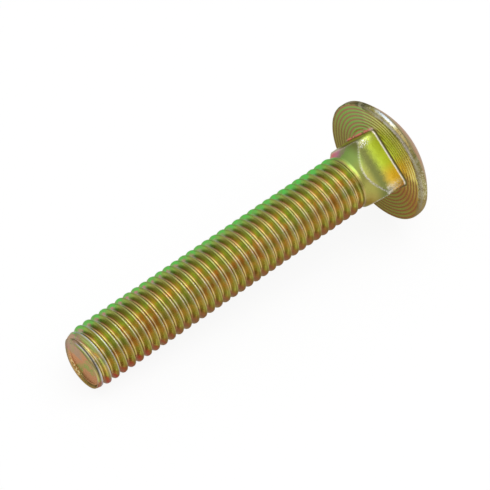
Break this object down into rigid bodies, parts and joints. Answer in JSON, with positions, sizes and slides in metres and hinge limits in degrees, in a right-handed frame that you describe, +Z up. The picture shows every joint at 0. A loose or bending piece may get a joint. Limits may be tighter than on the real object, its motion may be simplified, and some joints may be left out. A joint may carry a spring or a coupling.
{
  "type": "carriage bolt",
  "caption": "Fully threaded carriage bolt with a low domed head, a short square neck and a right-hand thread, in yellow passivated zinc-plated steel.",
  "frame": {"origin": "middle of the lying bolt's footprint, on the surface that it lies on", "axes": "+X from the tip towards the head, +Z up; the bolt's axis lies in the X-Z plane and rises towards the head, because it rests on the edge of its head and on the first crests of its thread"},
  "size_m": [0.053, 0.0172, 0.0172],
  "materials": {
    "plated_steel": "zinc plated with an iridescent yellow passivate, satin, worn bright on the crests of the thread"
  },
  "bodies": {
    "root": {"carriage_bolt": "plated_steel"}
  },
  "joints": []
}
